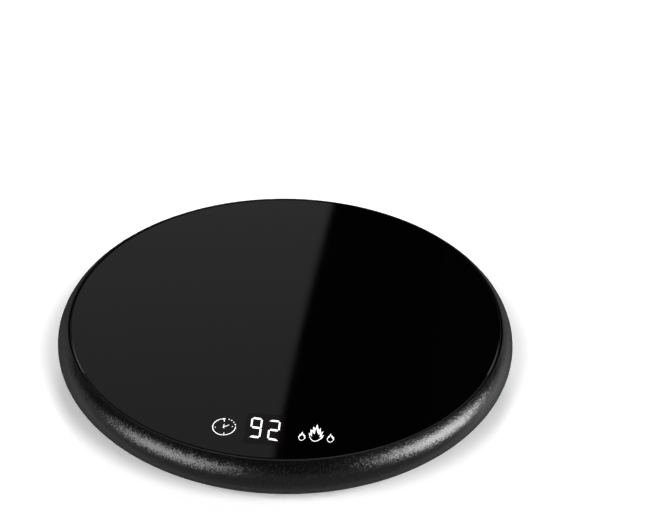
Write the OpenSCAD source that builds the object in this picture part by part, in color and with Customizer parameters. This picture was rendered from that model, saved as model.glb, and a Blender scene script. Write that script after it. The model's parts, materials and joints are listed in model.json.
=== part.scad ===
// Round electric mug warmer: a heated glass plate in a rounded rim, with two touch keys and a
// two-digit display under the glass. Millimetres. Z is up, the display is at -Y, the cord leaves at +Y.

/* [Overall] */
// Outer diameter of the rim
outer_d = 128; // [124:1:170]
// Radius of the rim's round section, which sets how tall the rim is
rim_r = 6.2; // [5.8:0.1:8]
// How far the base stands below the rim
base_drop = 4; // [3.6:0.1:8]
// How far the feet stand out below the base
foot_proud = 1.5; // [1:0.1:4]

/* [Housing] */
// Wall of the rim's shell
wall = 2; // [1.4:0.1:3]
// Wall of the base
base_wall = 1.8; // [1.4:0.1:2.6]
// Thickness of the base's floor
floor_t = 1.8; // [1.4:0.1:2.6]
// Rounding of the base's lower edge
base_edge = 4; // [3:0.1:4.2]
// Thickness of the deck under the glass
deck_t = 1.6; // [1.2:0.1:2.4]
// How far the base's wall stands up inside the rim
tongue_h = 2; // [1:0.1:2]
// Gap between parts that slip together
fit_gap = 0.2; // [0.1:0.05:0.3]
// Gap round a screw or stem in its hole
pin_gap = 0.05; // [0.02:0.01:0.1]

/* [Glass] */
// Width of the rim seen from above, outside the glass
rim_w = 3.3; // [3:0.1:5]
// Gap between the glass and the rim
glass_gap = 0.4; // [0.2:0.05:0.5]
// Thickness of the glass
glass_t = 3; // [2:0.1:4]
// Chamfer along the edges of the glass
glass_chamfer = 0.4; // [0.2:0.1:0.8]
// Chamfer along the rim's lip, beside the glass
lip_chamfer = 0.3; // [0.1:0.1:0.5]
// How far the glass lies below the lip of the rim
glass_sink = 0.1; // [0:0.05:0.6]
// Thickness of the adhesive tape and of the thermal pad under the glass
tape_t = 0.3; // [0.2:0.1:0.6]

/* [Heater] */
// Diameter of the heating plate
plate_d = 76; // [60:1:78]
// Thickness of the heating plate
plate_t = 1.5; // [1:0.1:2.5]
// Thickness of each mica sheet
mica_t = 0.4; // [0.3:0.1:0.6]
// Thickness of the heating ribbon
ribbon_t = 0.2; // [0.1:0.05:0.4]
// Width of the heating ribbon
ribbon_w = 2; // [1:0.1:2.4]
// Distance between the turns of the ribbon
ribbon_pitch = 3.1; // [2.8:0.1:4]
// Thickness of the insulating felt
felt_t = 2.5; // [1.5:0.1:3]
// Thickness of the pressed steel retainer
retainer_t = 0.6; // [0.5:0.1:1]

/* [Controls] */
// Distance from the control board's outer edge in to the row of keys
key_inset = 6.8; // [6.6:0.1:8]
// Distance of each touch key from the middle of the row
key_x = 11.6; // [11.6:0.1:14]
// Width of the display module
display_w = 11; // [9:0.1:12]
// Depth of the display module, from front to back
display_l = 11.4; // [10:0.1:12]
// Height of the display module
display_h = 5; // [4:0.1:6]
// How far the display module lies off the middle of the row
display_x = -1; // [-1:0.1:1]
// Height of a digit
digit_h = 8.2; // [7:0.1:9.6]
// Width of a digit
digit_w = 3.4; // [3:0.1:4]
// Distance between the two digits
digit_pitch = 4.4; // [4.2:0.1:5]
// Width of a digit's bars
bar_w = 0.8; // [0.5:0.1:0.9]
// Thickness of the control board
control_t = 1.2; // [0.8:0.1:1.6]

/* [Power] */
// Thickness of the power board
power_t = 1.6; // [1:0.1:2]
// Height of the posts under the power board
power_post_h = 1.5; // [1:0.1:2.5]
// Half of the angle that the power board spans
power_half = 39; // [37:1:39]

/* [Cord entry] */
// Bore of the cord gland
gland_bore_d = 4.6; // [4:0.1:5]
// Wall of the gland round the bore
gland_wall = 0.6; // [0.5:0.1:0.8]
// How far the middle of the cord entry lies below the top of the deck
gland_drop = 3.8; // [3.8:0.1:4]

/* [Feet] */
// Diameter of a rubber foot
foot_d = 10; // [7:0.5:12]
// Depth of the recess that holds a foot
foot_recess = 0.8; // [0.4:0.1:1]

/* [Hidden] */
$fn = 96;
eps = 0.01;
through = 40;

// Rim, glass and deck
outer_r = outer_d / 2;
base_z = foot_proud;
floor_z = base_z + floor_t;
rim_z = base_z + base_drop;
tube_z = rim_z + rim_r;
tube_c = outer_r - rim_r;
pocket_r = outer_r - rim_w;
glass_r = pocket_r - glass_gap;
lip_z = tube_z + sqrt(pow(rim_r, 2) - pow(pocket_r - tube_c, 2));
glass_top = lip_z - glass_sink;
glass_z = glass_top - glass_t;
deck_z = glass_z - tape_t;
deck_low = deck_z - deck_t;
cover_r = tube_c - fit_gap;
cover_in = cover_r - base_wall;

// Heater stack, from the glass down
plate_r = plate_d / 2;
well_gap = 0.5;
well_r = plate_r + well_gap;
well_wall = 1.5;
collar_h = 2.4;
plate_z = glass_z - tape_t - plate_t;
upper_mica_z = plate_z - mica_t;
ribbon_z = upper_mica_z - ribbon_t;
lower_mica_z = ribbon_z - mica_t;
felt_z = lower_mica_z - felt_t;
retainer_z = felt_z - retainer_t;
stack_r = plate_r - 1.5;
sensor_hole_r = 4.5;
retainer_r = stack_r + 0.8;
retainer_rim_h = 1.6;
ear_screw_r = well_r + 4.7;
ear_angles = [-48, 72, 192];
ear_post_r = 2.7;

// Electronics bay, the ring between the heater well and the wall
bay_in = well_r + well_wall + 1.8;
bay_out = cover_in - 0.5;
bay_mid = (bay_in + bay_out) / 2;
control_out = cover_r - 1;
key_row = control_out - key_inset;
spring_wire_r = 0.25;
timer_spring_r = 4.1;
heat_spring_r = 5.1;
cup_gap = 0.15;
cup_wall = 0.5;
cup_top_gap = 0.3;
display_gap = 0.1;
control_top = glass_z - display_gap - display_h;
control_z = control_top - control_t;
control_half = 34;
control_screw_angle = 30;
control_screw_r = bay_mid + 2.2;
control_post_r = 2.4;
window_half = [key_x + heat_spring_r + 1, max(display_l / 2, heat_spring_r + spring_wire_r) + 0.8];
power_z = floor_z + power_post_h;
power_top = power_z + power_t;
power_screw_angle = power_half - 3;
part_r = bay_out - 6.75;
power_screw_r = part_r + 2.5;
power_post_r = 2.6;

// Housing screws, which join the base's posts to the bosses under the deck
boss_angles = [45, 135, 225, 315];
boss_inset = 4.8;
boss_ring = cover_in - boss_inset;
boss_r = 3.4;
post_r = 4.2;
post_h = 3;
boss_z = floor_z + post_h;
web_t = 1.2;
web_lift = 0.8; // from the top of the base's wall up to the webs
rib_h = 1.8;
rib_angles = [57, 110, 122, 150, 163, 176, 208, 242, 302]; // clear of boards, bosses and posts
housing_screw = [1.2, 7.2, 2.8, 1.7]; // shank radius, shank length, head radius, head height
head_seat_z = base_z + 2;
board_screw = [0.95, 3.2, 2.1, 1.3];
power_screw = [0.95, 4.2, 2.1, 1.3];
pilot_extra = 0.4; // how much deeper a screw's hole is than its shank

// Cord entry
gland_z = deck_z - gland_drop;
gland_r = gland_bore_d / 2 + gland_wall;
gland_flange = [gland_r + 0.6, 1]; // radius and thickness
gland_lip = [gland_r + 0.4, 0.8]; // radius and thickness
gland_face = outer_r - 3.4;
gland_in = gland_face - 4.9;
gland_boss_r = gland_r + 2;
notch_half = gland_boss_r + 0.7;

// Feet and vents
foot_ring = cover_in - 9.8;
foot_angles = [0, 90, 180, 270];
vent_rings = [14, 20, 26, 32];
vent_w = 1.8;
vent_bars = 10;
vent_bar_w = 2.4;
vent_rib_h = 1.2;
vent_rib_w = 1.2;
vent_rib_in = 8;
vent_rib_out = 38;

// ---------------------------------------------------------------- helpers

// Puts its children at a radius, an angle and a height
module at(angle, r, z) {
  rotate([0, 0, angle]) translate([r, 0, z]) children();
}

// Part of a flat ring, between two radii and two angles
module sector(r1, r2, a1, a2, z, h) {
  translate([0, 0, z]) rotate([0, 0, a1]) rotate_extrude(angle = a2 - a1)
    translate([r1, 0]) square([r2 - r1, h]);
}

// Flat disc or ring from z up
module disc(r, z, h, hole = 0) {
  translate([0, 0, z]) difference() {
    cylinder(r = r, h = h);
    if (hole > 0) translate([0, 0, -eps]) cylinder(r = hole, h = h + 2 * eps);
  }
}

// Box centred in X and Y, from z up
module block(size, z = 0) {
  translate([-size.x / 2, -size.y / 2, z]) cube(size);
}

// Cross-slot screw with its head seated at z = 0 and its shank going up
module screw(s) {
  slot_w = 0.28 * s[2];
  difference() {
    union() {
      cylinder(r = s[0], h = s[1]);
      translate([0, 0, -s[3]]) cylinder(r = s[2], h = s[3]);
    }
    for (turn = [0, 90])
      rotate([0, 0, turn]) block([1.2 * s[2], slot_w, 0.5 * s[3] + eps], -s[3] - eps);
  }
}

function unit(v) = v / norm(v);

// Direction of a path at point i
function heading(path, i) =
  unit(path[min(i + 1, len(path) - 1)] - path[max(i - 1, 0)]);

// Ring of n points of radius r round the path's point i, square to the path
function ring(path, i, r, n, side) =
  let (d = heading(path, i), u = unit(cross(d, side)), v = cross(d, u))
    [for (k = [0:n - 1]) path[i] + r * (cos(360 * k / n) * u + sin(360 * k / n) * v)];

// Tube swept along a path. side is a direction that the path never runs along.
module tube(path, r, n = 8, side = [0, 0, 1]) {
  last = len(path) - 1;
  points = [for (i = [0:last]) each ring(path, i, r, n, side)];
  walls = [for (i = [0:last - 1], k = [0:n - 1])
    [i * n + k, i * n + (k + 1) % n, (i + 1) * n + (k + 1) % n, (i + 1) * n + k]];
  start = [for (k = [n - 1:-1:0]) k];
  end = [for (k = [0:n - 1]) last * n + k];
  polyhedron(points = points, faces = concat([start], walls, [end]));
}

// Point between b and c on a smooth curve through a, b, c and d
function smooth_point(a, b, c, d, t) =
  0.5 * (2 * b + (c - a) * t + (2 * a - 5 * b + 4 * c - d) * t * t
    + (3 * b - a - 3 * c + d) * t * t * t);

// Smooth path through points, with steps between each two
function smooth(points, steps = 4) =
  let (last = len(points) - 1)
    concat([for (i = [0:last - 1], k = [0:steps - 1])
      smooth_point(points[max(i - 1, 0)], points[i], points[i + 1],
        points[min(i + 2, last)], k / steps)], [points[last]]);

function polar(angle, r, z) = [r * cos(angle), r * sin(angle), z];

// ---------------------------------------------------------------- housing

// Section of the rim: the outer half of a round tube, hollow below the deck, with the glass pocket cut in
module rim_section() {
  difference() {
    translate([tube_c, tube_z]) circle(rim_r);
    translate([0, rim_z - 1]) square([tube_c, 2 * rim_r + 2]);
    intersection() {
      translate([tube_c, tube_z]) circle(rim_r - wall);
      square([outer_r, deck_low]);
    }
    translate([0, deck_z]) square([pocket_r, 2 * rim_r]);
    translate([pocket_r, lip_z]) polygon([[-1, 1], [-1, -1 - lip_chamfer], [1 + lip_chamfer, 1]]);
  }
}

// Opening in the deck over the display and the touch keys
module key_window(grow = 0) {
  intersection() {
    translate([-window_half.x - grow, -key_row - window_half.y - grow])
      square([2 * (window_half.x + grow), 2 * (window_half.y + grow)]);
    circle(control_out + 0.8 + grow);
  }
}

module deck_posts() {
  for (a = ear_angles)
    at(a, ear_screw_r, retainer_z + retainer_t)
      cylinder(r = ear_post_r, h = deck_low - retainer_z - retainer_t + eps);
  for (side = [-1, 1])
    at(side * control_screw_angle - 90, control_screw_r, control_top)
      cylinder(r = control_post_r, h = deck_low - control_top + eps);
}

// Upright web under the deck, from a radius out into the wall of the rim
module radial_web(angle, from_r, from_z) {
  rotate([90, 0, angle]) translate([0, 0, -web_t / 2]) linear_extrude(web_t) intersection() {
    translate([from_r, from_z]) square([outer_r - from_r, deck_low - from_z + eps]);
    union() {
      square([tube_c, deck_z]);
      translate([tube_c, tube_z]) circle(rim_r - wall / 2);
    }
  }
}

module boss_with_web(a) {
  at(a, boss_ring, boss_z) cylinder(r = boss_r, h = deck_low - boss_z + eps);
  radial_web(a, boss_ring, rim_z + tongue_h + web_lift);
}

module deck_ribs() {
  for (a = rib_angles) radial_web(a, well_r + well_wall / 2, deck_low - rib_h);
}

// Boss inside the rim that the cord gland snaps into
module gland_boss() {
  intersection() {
    translate([0, gland_in, gland_z]) rotate([-90, 0, 0])
      cylinder(r = gland_boss_r, h = gland_face - gland_in + 0.6);
    translate([-gland_boss_r, 0, rim_z + 0.4]) cube([2 * gland_boss_r, outer_r, deck_z - rim_z - 0.4]);
  }
}

module upper_housing() {
  color("#1b1b1c") difference() {
    union() {
      rotate_extrude() rim_section();
      disc(tube_c + 1, deck_low, deck_t, well_r);
      disc(well_r + well_wall, deck_low - collar_h, collar_h + eps, well_r);
      deck_posts();
      for (a = boss_angles) boss_with_web(a);
      deck_ribs();
      gland_boss();
    }
    translate([0, 0, deck_low - 1]) linear_extrude(deck_t + 2) key_window();
    for (a = boss_angles)
      at(a, boss_ring, boss_z - 1)
        cylinder(r = housing_screw[0] + pin_gap,
          h = head_seat_z + housing_screw[1] + pilot_extra - boss_z + 1);
    for (a = ear_angles)
      at(a, ear_screw_r, retainer_z)
        cylinder(r = board_screw[0] + pin_gap, h = board_screw[1] + pilot_extra);
    for (side = [-1, 1])
      at(side * control_screw_angle - 90, control_screw_r, control_z)
        cylinder(r = board_screw[0] + pin_gap, h = board_screw[1] + pilot_extra);
    translate([0, gland_in - 1, gland_z]) rotate([-90, 0, 0]) cylinder(r = gland_r + pin_gap, h = through);
    translate([0, gland_face, gland_z]) rotate([-90, 0, 0])
      cylinder(r = gland_flange[0] + fit_gap, h = through);
    translate([-gland_lip[0] - fit_gap, gland_in - 2, gland_z])
      cube([2 * (gland_lip[0] + fit_gap), 2, through]);
  }
}

// Section of a dish with a rounded lower edge
module dish(r, bottom, top, edge) {
  translate([0, bottom]) square([r - edge, top - bottom]);
  translate([0, bottom + edge]) square([r, top - bottom - edge]);
  translate([r - edge, bottom + edge]) circle(edge);
}

// Arc-shaped ventilation slots, left whole at the bars between them
module vents() {
  difference() {
    for (r = vent_rings) disc(r + vent_w / 2, base_z - 1, floor_t + 2, r - vent_w / 2);
    for (k = [0:vent_bars - 1])
      rotate([0, 0, k * 360 / vent_bars]) translate([0, -vent_bar_w / 2, base_z - 2])
        cube([vent_rib_out, vent_bar_w, floor_t + 4]);
  }
}

module bottom_cover() {
  wall_top = rim_z + tongue_h;
  color("#202022") difference() {
    union() {
      difference() {
        rotate_extrude() intersection() {
          dish(cover_r, base_z, wall_top, base_edge);
          square([outer_r, wall_top]);
        }
        rotate_extrude() intersection() {
          dish(cover_in, floor_z, wall_top + 1, base_edge - base_wall);
          square([outer_r, wall_top + 1]);
        }
      }
      for (a = boss_angles) at(a, boss_ring, base_z) cylinder(r = post_r, h = boss_z - base_z);
      for (side = [-1, 1])
        at(side * power_screw_angle, power_screw_r, base_z)
          cylinder(r = power_post_r, h = power_z - base_z);
      for (k = [0:vent_bars - 1])
        rotate([0, 0, k * 360 / vent_bars]) translate([vent_rib_in, -vent_rib_w / 2, base_z])
          cube([vent_rib_out - vent_rib_in, vent_rib_w, floor_t + vent_rib_h]);
    }
    vents();
    for (a = boss_angles) at(a, boss_ring, base_z - 1) {
      cylinder(r = housing_screw[2] + fit_gap, h = head_seat_z - base_z + 1);
      cylinder(r = housing_screw[0] + 0.5, h = through);
    }
    for (side = [-1, 1])
      at(side * power_screw_angle, power_screw_r, power_top - power_screw[1] - 0.2)
        cylinder(r = power_screw[0] + pin_gap, h = through);
    for (a = foot_angles)
      at(a, foot_ring, base_z - 1) cylinder(r = foot_d / 2 + fit_gap, h = foot_recess + 1);
    translate([-notch_half, cover_in - 2, rim_z]) cube([2 * notch_half, base_wall + 4, tongue_h + 1]);
    sector(cover_in - 2, control_out + fit_gap, -90 - control_half - 1, -90 + control_half + 1,
      control_z - fit_gap, through);
  }
}

module glass_panel() {
  c = glass_chamfer;
  color("#050506") rotate_extrude() polygon([
    [0, glass_z], [glass_r - c, glass_z], [glass_r, glass_z + c],
    [glass_r, glass_top - c], [glass_r - c, glass_top], [0, glass_top],
  ]);
}

module glass_tape() {
  color("#2a2a2a") difference() {
    disc(glass_r - 0.5, deck_z, tape_t, well_r + 1);
    translate([0, 0, deck_z - 1]) linear_extrude(tape_t + 2) key_window(0.4);
  }
}

module rubber_foot(a) {
  round_r = 0.8;
  r = foot_d / 2;
  top = base_z + foot_recess;
  color("#3a3a3c") at(a, foot_ring, 0) rotate_extrude() {
    square([r - round_r, top]);
    translate([0, round_r]) square([r, top - round_r]);
    intersection() {
      translate([r - round_r, round_r]) circle(round_r);
      square([r, round_r]);
    }
  }
}

module housing_screws() {
  color("silver") for (a = boss_angles) at(a, boss_ring, head_seat_z) screw(housing_screw);
}

// Snap-in bush for the cord: a flange outside, a stem through the boss and a lip behind it
module cord_gland() {
  lead_in = 0.4;
  bore_r = gland_bore_d / 2;
  inner = gland_in - gland_lip[1];
  outer = gland_face + gland_flange[1];
  color("#262628") translate([0, 0, gland_z]) rotate([-90, 0, 0]) rotate_extrude() difference() {
    union() {
      translate([0, inner]) square([gland_r, outer - inner]);
      translate([0, gland_face]) square([gland_flange[0], gland_flange[1]]);
      translate([0, inner]) square([gland_lip[0], gland_lip[1]]);
    }
    translate([0, inner - 1]) square([bore_r, outer - inner + 2]);
    polygon([[0, outer - lead_in], [bore_r, outer - lead_in], [bore_r + lead_in, outer], [0, outer + 1]]);
  }
}

// ---------------------------------------------------------------- heater

module thermal_pad() {
  color("#b9bcc0") disc(plate_r - 0.5, glass_z - tape_t, tape_t);
}

sensor_pocket = [1.7, 0.7]; // radius and depth of the thermistor's pocket under the plate

module heating_plate() {
  color("#c3c6c9") difference() {
    disc(plate_r, plate_z, plate_t);
    translate([0, 0, plate_z - eps]) cylinder(r = sensor_pocket[0], h = sensor_pocket[1] + eps);
  }
}

// The heating ribbon winds to and fro in two mirrored halves, which join at the innermost turn
ribbon_first = 10; // radius of the innermost turn
ribbon_turns = 2 * floor((stack_r - 1.2 - ribbon_first) / ribbon_pitch / 2) + 1;
ribbon_end_y = 1.2; // half of the gap between the halves
terminal_l = 3;
function turn_r(i) = ribbon_first + i * ribbon_pitch;
ribbon_end_r = turn_r(ribbon_turns - 1);
terminal_y = ribbon_end_y + terminal_l / 2;
terminal_x = ribbon_end_r - 0.4;

module ribbon_half() {
  intersection() {
    union() for (i = [0:ribbon_turns - 1]) difference() {
      circle(turn_r(i) + ribbon_w / 2);
      circle(turn_r(i) - ribbon_w / 2);
    }
    translate([-plate_r, ribbon_end_y]) square([plate_d, plate_r]);
  }
  for (i = [0:ribbon_turns - 2]) {
    side = (ribbon_turns - 1 - i) % 2 == 0 ? 1 : -1;
    bridge_l = ribbon_pitch + ribbon_w;
    translate([side * (turn_r(i) + turn_r(i + 1)) / 2 - bridge_l / 2, ribbon_end_y])
      square([bridge_l, ribbon_w]);
  }
  translate([terminal_x - 1.4, ribbon_end_y]) square([2.8, terminal_l]);
}

module heating_element() {
  color("#a9825a") translate([0, 0, ribbon_z]) linear_extrude(ribbon_t) {
    ribbon_half();
    mirror([0, 1]) ribbon_half();
    translate([-ribbon_first - ribbon_w / 2, -ribbon_end_y - 0.5]) square([ribbon_w, 2 * ribbon_end_y + 1]);
  }
}

module upper_mica_sheet() {
  color("#c9b48a") disc(stack_r, upper_mica_z, mica_t, sensor_hole_r);
}

lead_hole_r = 1.3;

module lead_holes(z, h) {
  for (side = [-1, 1])
    translate([terminal_x, side * terminal_y, z - 1]) cylinder(r = lead_hole_r, h = h + 2);
}

module lower_mica_sheet() {
  color("#c9b48a") difference() {
    disc(stack_r, lower_mica_z, mica_t, sensor_hole_r);
    lead_holes(lower_mica_z, mica_t);
  }
}

fuse_r = 2;
fuse_l = 11.5;
fuse_crimp = 1.2;
fuse_x = terminal_x - 13.4;
fuse_z = lower_mica_z - fuse_r - pin_gap;
fuse_slot = [2 * fuse_r + 1, fuse_l + 9];

module fuse_window(z, h) {
  translate([fuse_x, 0, 0]) block([fuse_slot.x, fuse_slot.y, h + 2], z - 1);
}

module insulation_felt() {
  color("#e9e6dc") difference() {
    disc(stack_r, felt_z, felt_t, sensor_hole_r);
    lead_holes(felt_z, felt_t);
    fuse_window(felt_z, felt_t);
  }
}

// Pressed steel dish that holds the stack up against the glass by three screwed ears
module heater_retainer() {
  windows = [62, 118, 180, 242, 298]; // kidney windows, away from the fuse and the leads
  window_r = [14, stack_r - 7.5];
  window_span = 36;
  ear_w = 6;
  outer = retainer_r + retainer_t;
  color("#b4b6b8") difference() {
    union() {
      translate([0, 0, retainer_z]) rotate_extrude() {
        square([outer, retainer_t]);
        translate([retainer_r, 0]) square([retainer_t, retainer_t + retainer_rim_h]);
      }
      for (a = ear_angles) rotate([0, 0, a]) translate([0, 0, retainer_z]) linear_extrude(retainer_t) {
        translate([outer - 0.3, -ear_w / 2]) square([ear_screw_r - outer + 0.3, ear_w]);
        translate([ear_screw_r, 0]) circle(d = ear_w);
      }
    }
    translate([0, 0, retainer_z - 1]) cylinder(r = sensor_hole_r, h = retainer_t + 2);
    for (a = windows)
      sector(window_r[0], window_r[1], a - window_span / 2, a + window_span / 2,
        retainer_z - 1, retainer_t + 2);
    for (a = ear_angles)
      at(a, ear_screw_r, retainer_z - 1) cylinder(r = board_screw[0] + 0.3, h = retainer_t + 2);
    lead_holes(retainer_z, retainer_t);
    fuse_window(retainer_z, retainer_t);
  }
}

module retainer_screws() {
  color("silver") for (a = ear_angles) at(a, ear_screw_r, retainer_z) screw(board_screw);
}

sensor_r = 1.5;
bush_flange = [6.5, 0.9];

// Ceramic bush that carries the thermistor through the middle of the stack
module sensor_bush() {
  color("#efe9df") difference() {
    union() {
      disc(sensor_hole_r - fit_gap, retainer_z, plate_z - retainer_z - 0.1);
      disc(bush_flange[0], retainer_z - bush_flange[1], bush_flange[1]);
    }
    translate([0, 0, retainer_z - 2]) cylinder(r = sensor_r + pin_gap, h = through);
  }
}

sensor_z = retainer_z - bush_flange[1];

module thermistor() {
  top = plate_z + sensor_pocket[1] - 0.1;
  color("#3b3f46") translate([0, 0, sensor_z]) {
    cylinder(r = sensor_r, h = top - sensor_z - sensor_r);
    translate([0, 0, top - sensor_z - sensor_r]) sphere(sensor_r);
  }
}

module thermal_fuse() {
  color("#c9a24a") translate([fuse_x, 0, fuse_z]) rotate([-90, 0, 0]) {
    translate([0, 0, -fuse_l / 2]) cylinder(r = fuse_r, h = fuse_l);
    for (end = [0, 1]) mirror([0, 0, end])
      translate([0, 0, fuse_l / 2 - eps]) cylinder(r1 = 1.2, r2 = 0.6, h = fuse_crimp + eps);
  }
}

clip_t = 0.5;
clip_w = 6;

// Saddle that holds the thermal fuse up against the mica
module fuse_clip() {
  saddle_r = fuse_r + pin_gap + clip_t;
  foot = 4.5;
  color("#b4b6b8") translate([fuse_x, -clip_w / 2, 0]) difference() {
    union() {
      intersection() {
        translate([0, 0, fuse_z]) rotate([-90, 0, 0]) cylinder(r = saddle_r, h = clip_w);
        translate([-saddle_r, 0, fuse_z - saddle_r])
          cube([2 * saddle_r, clip_w, retainer_z - fuse_z + saddle_r]);
      }
      translate([-saddle_r - foot, 0, retainer_z - clip_t]) cube([2 * (saddle_r + foot), clip_w, clip_t]);
    }
    translate([0, -1, fuse_z]) rotate([-90, 0, 0]) cylinder(r = saddle_r - clip_t, h = clip_w + 2);
  }
}

// ---------------------------------------------------------------- controls

// Board shaped as part of a ring, with a screw hole near each end
module ring_board(r2, middle, half, z, t, screw_angle, screw_r) {
  difference() {
    sector(bay_in, r2, middle - half, middle + half, z, t);
    for (side = [-1, 1])
      at(middle + side * screw_angle, screw_r, z - 1) cylinder(r = board_screw[0] + 0.2, h = t + 2);
  }
}

module control_board() {
  color("#1f5a35") ring_board(control_out, -90, control_half, control_z, control_t,
    control_screw_angle, control_screw_r);
}

module control_board_screws() {
  color("silver") for (side = [-1, 1])
    at(side * control_screw_angle - 90, control_screw_r, control_z) screw(board_screw);
}

// Six-sided bar of a seven-bar digit, lying along X
module bar(length) {
  h = bar_w / 2;
  polygon([[-length / 2, 0], [-length / 2 + h, h], [length / 2 - h, h],
    [length / 2, 0], [length / 2 - h, -h], [-length / 2 + h, -h]]);
}

// The seven bars of one digit, with a small gap where they meet
module digit_bars() {
  gap = 0.15;
  dx = (digit_w - bar_w) / 2;
  dy = (digit_h - bar_w) / 2;
  for (y = [-dy, 0, dy]) translate([0, y]) bar(2 * dx - 2 * gap);
  for (x = [-dx, dx], y = [-dy / 2, dy / 2]) translate([x, y]) rotate(90) bar(dy - 2 * gap);
}

display_bar_t = 0.6;

module two_digits() {
  for (side = [-1, 1]) translate([side * digit_pitch / 2, 0]) digit_bars();
}

module at_display(z) {
  translate([display_x, -key_row, z]) children();
}

module display_module() {
  color("#e4e4e0") at_display(control_top) difference() {
    block([display_w, display_l, display_h]);
    translate([0, 0, display_h - display_bar_t]) linear_extrude(1) two_digits();
  }
}

module display_bars() {
  color("white") at_display(control_top + display_h - display_bar_t)
    linear_extrude(display_bar_t) two_digits();
}

// Coil spring that carries the touch signal from the board to the glass
module touch_spring(x, r) {
  turns = 5;
  per_turn = 14;
  dead = 0.8;
  low = control_top + spring_wire_r;
  high = glass_z - spring_wire_r - 0.02;
  count = turns * per_turn;
  path = [for (i = [0:count])
    let (t = i / per_turn, s = min(max((t - dead) / (turns - 2 * dead), 0), 1))
      [x + r * cos(360 * t), -key_row + r * sin(360 * t), low + (high - low) * s]];
  color("#c8a15a") tube(path, spring_wire_r, 8);
}

module light_cup(x, outer) {
  h = glass_z - cup_top_gap - control_top;
  translate([x, -key_row, 0]) disc(outer, control_top, h, outer - cup_wall);
}

timer_cup_r = timer_spring_r - spring_wire_r - cup_gap;
heat_cup_r = heat_spring_r - spring_wire_r - cup_gap;

module timer_light_cup() {
  color("#f0f0ec") light_cup(-key_x, timer_cup_r);
}

// The cup under the heat symbol has two walls, so that its three parts light one at a time
module heat_light_cup() {
  part_x = 1.7;
  wall_y = 2 * sqrt(pow(heat_cup_r - cup_wall / 2, 2) - pow(part_x, 2));
  color("#f0f0ec") {
    light_cup(key_x, heat_cup_r);
    for (side = [-1, 1])
      translate([key_x + side * part_x, -key_row, 0])
        block([cup_wall, wall_y, glass_z - cup_top_gap - control_top], control_top);
  }
}

module led(size) {
  block(size, control_top);
  translate([0, 0, control_top]) cylinder(d = 0.8 * size.y, h = size.z + 0.15);
}

module timer_led() {
  color("white") translate([-key_x, -key_row, 0]) led([2.8, 2, 0.9]);
}

module heat_leds() {
  color("white") for (k = [-1:1]) translate([key_x + 3 * k, -key_row, 0]) led([1.2, 1.6, 0.7]);
}

// Chip with legs along both long sides, hanging under the board
module microcontroller() {
  body = [9.9, 3.9, 1.45];
  leg_pitch = 1.27;
  legs = 8;
  color("#2b2b2d") at(-90 - 16, bay_mid, control_z) rotate([0, 0, 90]) {
    translate([0, 0, -body.z - 0.1]) block(body);
    for (side = [-1, 1], k = [0:legs - 1])
      translate([(k - (legs - 1) / 2) * leg_pitch, side * (body.y / 2 + 0.5), -0.9]) {
        block([0.4, 1.1, 0.2], 0.2);
        translate([0, side * 0.65, 0]) block([0.4, 0.2, 0.7], 0.2);
        translate([0, side * 0.95, 0.7]) block([0.4, 0.8, 0.2], 0);
      }
  }
}

module buzzer() {
  h = 3.2;
  color("#19191a") at(-90 - 3, bay_mid, control_z - h) difference() {
    cylinder(r = 4.5, h = h);
    translate([0, 0, -eps]) cylinder(r = 1, h = 1.2);
  }
}

// Side-entry connector. Its mouth looks along +Z and its pins are spaced along X.
pin_pitch = 2;
pin_w = 0.5;
shell_t = 0.6;
connector_h = 3.2;
connector_l = 5;
function connector_w(ways) = ways * pin_pitch + 2 * shell_t + 0.2;

module connector(ways) {
  difference() {
    block([connector_w(ways), connector_h, connector_l]);
    block([connector_w(ways) - 2 * shell_t, connector_h - 2 * shell_t, connector_l], 0.8);
  }
  for (k = [0:ways - 1])
    translate([(k - (ways - 1) / 2) * pin_pitch, 0, 0]) block([pin_w, pin_w, connector_l - 1]);
}

plug_wall_gap = 0.1;
plug_hole_r = 0.55;
plug_out = 2;
plug_start = 1;

// Plug that fits the connector's mouth, with one hole right through for each wire and its pin
module plug(ways) {
  l = connector_l + plug_out - plug_start;
  difference() {
    block([connector_w(ways) - 2 * shell_t - 2 * plug_wall_gap,
      connector_h - 2 * shell_t - 2 * plug_wall_gap, l], plug_start);
    for (k = [0:ways - 1])
      translate([(k - (ways - 1) / 2) * pin_pitch, 0, 0]) cylinder(r = plug_hole_r, h = l + 2);
  }
}

link_ways = 4;
sensor_ways = 2;
control_socket_angle = -90 + 20;
sensor_socket_angle = -90 + 8;
power_header_angle = -23;
header_r = bay_in + connector_w(link_ways) / 2 + 0.3;
socket_level = control_z - connector_h / 2;

// Places a connector that hangs under the control board with its mouth towards +angle
module at_control_socket() {
  at(control_socket_angle, header_r, socket_level) rotate([-90, 0, 0]) translate([0, 0, -connector_l / 2])
    children();
}

// Places a connector under the control board with its mouth towards the middle
module at_sensor_socket() {
  at(sensor_socket_angle, bay_in + connector_l + 0.6, socket_level) rotate([0, -90, 0]) rotate([0, 0, 90])
    children();
}

// Places a connector on the power board with its mouth towards -angle
module at_power_header() {
  at(power_header_angle, header_r, power_top + connector_h / 2) rotate([90, 0, 0])
    translate([0, 0, -connector_l / 2]) children();
}

module control_socket() {
  color("#f2efe4") at_control_socket() connector(link_ways);
}

module sensor_socket() {
  color("#f2efe4") at_sensor_socket() connector(sensor_ways);
}

// ---------------------------------------------------------------- power

module power_board() {
  color("#1f5a35") ring_board(bay_out, 0, power_half, power_z, power_t, power_screw_angle, power_screw_r);
}

module power_board_screws() {
  color("silver") for (side = [-1, 1])
    at(side * power_screw_angle, power_screw_r, power_top) rotate([180, 0, 0]) screw(power_screw);
}

// Puts its children on the power board, at an angle and a shift outwards from the parts' own circle
module on_power(angle, shift = 0) {
  at(angle, part_r + shift, power_top) children();
}

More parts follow.
